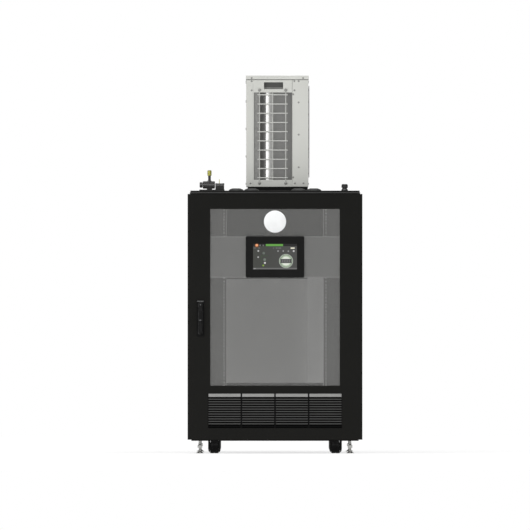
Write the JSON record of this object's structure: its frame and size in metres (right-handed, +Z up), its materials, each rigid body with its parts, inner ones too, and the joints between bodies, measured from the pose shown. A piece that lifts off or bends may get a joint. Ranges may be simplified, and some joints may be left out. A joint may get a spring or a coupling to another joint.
{
  "type": "air-conditioned rack cabinet",
  "caption": "Upright 19-inch equipment cabinet with a glazed front door, touch panel, louvred air inlet, castors and levelling feet, and a split cooling unit on its roof.",
  "frame": {"origin": "on the floor under the middle of the cabinet", "axes": "+Z up, the front door faces -Y, +X to the right seen from the front"},
  "size_m": [0.797, 1.146, 1.725],
  "materials": {
    "black_paint": "satin powder coat",
    "roof_paint": "satin powder coat",
    "dark_paint": "satin powder coat",
    "rail_paint": "satin powder coat",
    "seal_rubber": "matt",
    "zinc": "zinc plated",
    "duct_grey": "matt",
    "plate_grey": "satin powder coat",
    "coil_fins": "bare fins",
    "blower_black": "matt",
    "fitting_plastic": "matt",
    "cap_brass": "bright",
    "unit_paint": "satin powder coat",
    "unit_top_paint": "satin powder coat",
    "motor_black": "satin",
    "fan_plastic": "matt",
    "guard_wire": "plastic coated wire",
    "screw_steel": "plated",
    "copper": "bright copper and brass",
    "tinted_glass": "tinted, polished",
    "carrier_grey": "satin",
    "bezel_plastic": "smooth",
    "screen_glass": "display glass",
    "grille_plastic": "satin",
    "strip_aluminium": "brushed",
    "filter_foam": "open foam",
    "handle_black": "smooth",
    "fork_black": "satin",
    "wheel_black": "satin",
    "foot_chrome": "chrome plated"
  },
  "bodies": {
    "cabinet": {"base_frame": "black_paint", "corner_posts": "black_paint", "top_frame": "black_paint", "roof_panel": "roof_paint", "side_panels": "dark_paint", "rack_rails": "rail_paint", "rail_supports": "rail_paint", "door_seals": "seal_rubber", "cabinet_hinges": "zinc", "castor_plates": "zinc", "cable_duct": "duct_grey", "rear_plate": "plate_grey", "evaporator_case": "rail_paint", "evaporator_coil": "coil_fins", "roof_grommets": "seal_rubber", "roof_fittings": "fitting_plastic", "service_valve_cap": "cap_brass", "unit_rails": "black_paint", "unit_base_pan": "unit_paint", "unit_end_panel": "unit_paint", "unit_fan_panel": "unit_paint", "unit_service_panel": "unit_paint", "unit_top_cover": "unit_top_paint", "condenser_coil": "coil_fins", "compressor": "motor_black", "fan_motor": "motor_black", "fan_guard": "guard_wire", "coil_guards": "guard_wire", "unit_screws": "screw_steel", "refrigerant_lines": "copper"},
    "front_door": {"front_door_frame": "black_paint", "door_glass": "tinted_glass", "glass_seal": "seal_rubber", "panel_carrier": "carrier_grey", "touch_panel": "bezel_plastic", "touch_screen": "screen_glass", "louvre_grille": "grille_plastic", "grille_strips": "strip_aluminium", "filter_mat": "filter_foam", "front_handle_plate": "handle_black"},
    "front_latch": {"front_latch": "zinc"},
    "front_lever": {"front_lever": "handle_black"},
    "rear_door": {"rear_door_panel": "dark_paint", "rear_handle_plate": "handle_black"},
    "rear_latch": {"rear_latch": "zinc"},
    "rear_lever": {"rear_lever": "handle_black"},
    "condenser_fan": {"condenser_fan": "fan_plastic"},
    "evaporator_blower": {"evaporator_blower": "blower_black"},
    "castor_fork_fl": {"castor_fork_fl": "fork_black"},
    "castor_wheel_fl": {"castor_wheel_fl": "wheel_black"},
    "foot_fl": {"foot_fl": "foot_chrome"},
    "castor_fork_fr": {"castor_fork_fr": "fork_black"},
    "castor_wheel_fr": {"castor_wheel_fr": "wheel_black"},
    "foot_fr": {"foot_fr": "foot_chrome"},
    "castor_fork_rl": {"castor_fork_rl": "fork_black"},
    "castor_wheel_rl": {"castor_wheel_rl": "wheel_black"},
    "foot_rl": {"foot_rl": "foot_chrome"},
    "castor_fork_rr": {"castor_fork_rr": "fork_black"},
    "castor_wheel_rr": {"castor_wheel_rr": "wheel_black"},
    "foot_rr": {"foot_rr": "foot_chrome"}
  },
  "joints": [
    {"name": "front_door_hinge", "type": "hinge", "parent": "cabinet", "child": "front_door", "pos_m": [0.393, -0.515, 0.63025], "axis": [0, 0, 1], "range_deg": [0, 130]},
    {"name": "rear_door_hinge", "type": "hinge", "parent": "cabinet", "child": "rear_door", "pos_m": [-0.393, 0.515, 0.63025], "axis": [0, 0, 1], "range_deg": [0, 130]},
    {"name": "front_latch_turn", "type": "hinge", "parent": "front_door", "child": "front_latch", "pos_m": [-0.34, -0.556, 0.677], "axis": [0, -1, 0], "range_deg": [0, 90]},
    {"name": "front_lever_tilt", "type": "hinge", "parent": "front_latch", "child": "front_lever", "pos_m": [-0.34, -0.563, 0.677], "axis": [-1, 0, 0], "range_deg": [0, 25]},
    {"name": "rear_latch_turn", "type": "hinge", "parent": "rear_door", "child": "rear_latch", "pos_m": [0.34, 0.556, 0.677], "axis": [0, 1, 0], "range_deg": [0, 90]},
    {"name": "rear_lever_tilt", "type": "hinge", "parent": "rear_latch", "child": "rear_lever", "pos_m": [0.34, 0.563, 0.677], "axis": [1, 0, 0], "range_deg": [0, 25]},
    {"name": "castor_swivel_fl", "type": "hinge", "parent": "cabinet", "child": "castor_fork_fl", "pos_m": [-0.2766, -0.432, 0.068], "axis": [0, 0, 1], "continuous": true},
    {"name": "castor_wheel_spin_fl", "type": "hinge", "parent": "castor_fork_fl", "child": "castor_wheel_fl", "pos_m": [-0.2766, -0.414, 0.0255], "axis": [1, 0, 0], "continuous": true},
    {"name": "foot_screw_fl", "type": "slide", "parent": "cabinet", "child": "foot_fl", "axis": [0, 0, 1], "range_m": [-0.012, 0.016]},
    {"name": "castor_swivel_fr", "type": "hinge", "parent": "cabinet", "child": "castor_fork_fr", "pos_m": [0.2766, -0.432, 0.068], "axis": [0, 0, 1], "continuous": true},
    {"name": "castor_wheel_spin_fr", "type": "hinge", "parent": "castor_fork_fr", "child": "castor_wheel_fr", "pos_m": [0.2766, -0.414, 0.0255], "axis": [1, 0, 0], "continuous": true},
    {"name": "foot_screw_fr", "type": "slide", "parent": "cabinet", "child": "foot_fr", "axis": [0, 0, 1], "range_m": [-0.012, 0.016]},
    {"name": "castor_swivel_rl", "type": "hinge", "parent": "cabinet", "child": "castor_fork_rl", "pos_m": [-0.2766, 0.432, 0.068], "axis": [0, 0, 1], "continuous": true},
    {"name": "castor_wheel_spin_rl", "type": "hinge", "parent": "castor_fork_rl", "child": "castor_wheel_rl", "pos_m": [-0.2766, 0.45, 0.0255], "axis": [1, 0, 0], "continuous": true},
    {"name": "foot_screw_rl", "type": "slide", "parent": "cabinet", "child": "foot_rl", "axis": [0, 0, 1], "range_m": [-0.012, 0.016]},
    {"name": "castor_swivel_rr", "type": "hinge", "parent": "cabinet", "child": "castor_fork_rr", "pos_m": [0.2766, 0.432, 0.068], "axis": [0, 0, 1], "continuous": true},
    {"name": "castor_wheel_spin_rr", "type": "hinge", "parent": "castor_fork_rr", "child": "castor_wheel_rr", "pos_m": [0.2766, 0.45, 0.0255], "axis": [1, 0, 0], "continuous": true},
    {"name": "foot_screw_rr", "type": "slide", "parent": "cabinet", "child": "foot_rr", "axis": [0, 0, 1], "range_m": [-0.012, 0.016]},
    {"name": "condenser_fan_spin", "type": "hinge", "parent": "cabinet", "child": "condenser_fan", "pos_m": [0.1125, -0.105, 1.47], "axis": [1, 0, 0], "continuous": true},
    {"name": "blower_spin", "type": "hinge", "parent": "cabinet", "child": "evaporator_blower", "pos_m": [0, -0.01, 0.1389], "axis": [0, 0, 1], "continuous": true}
  ]
}
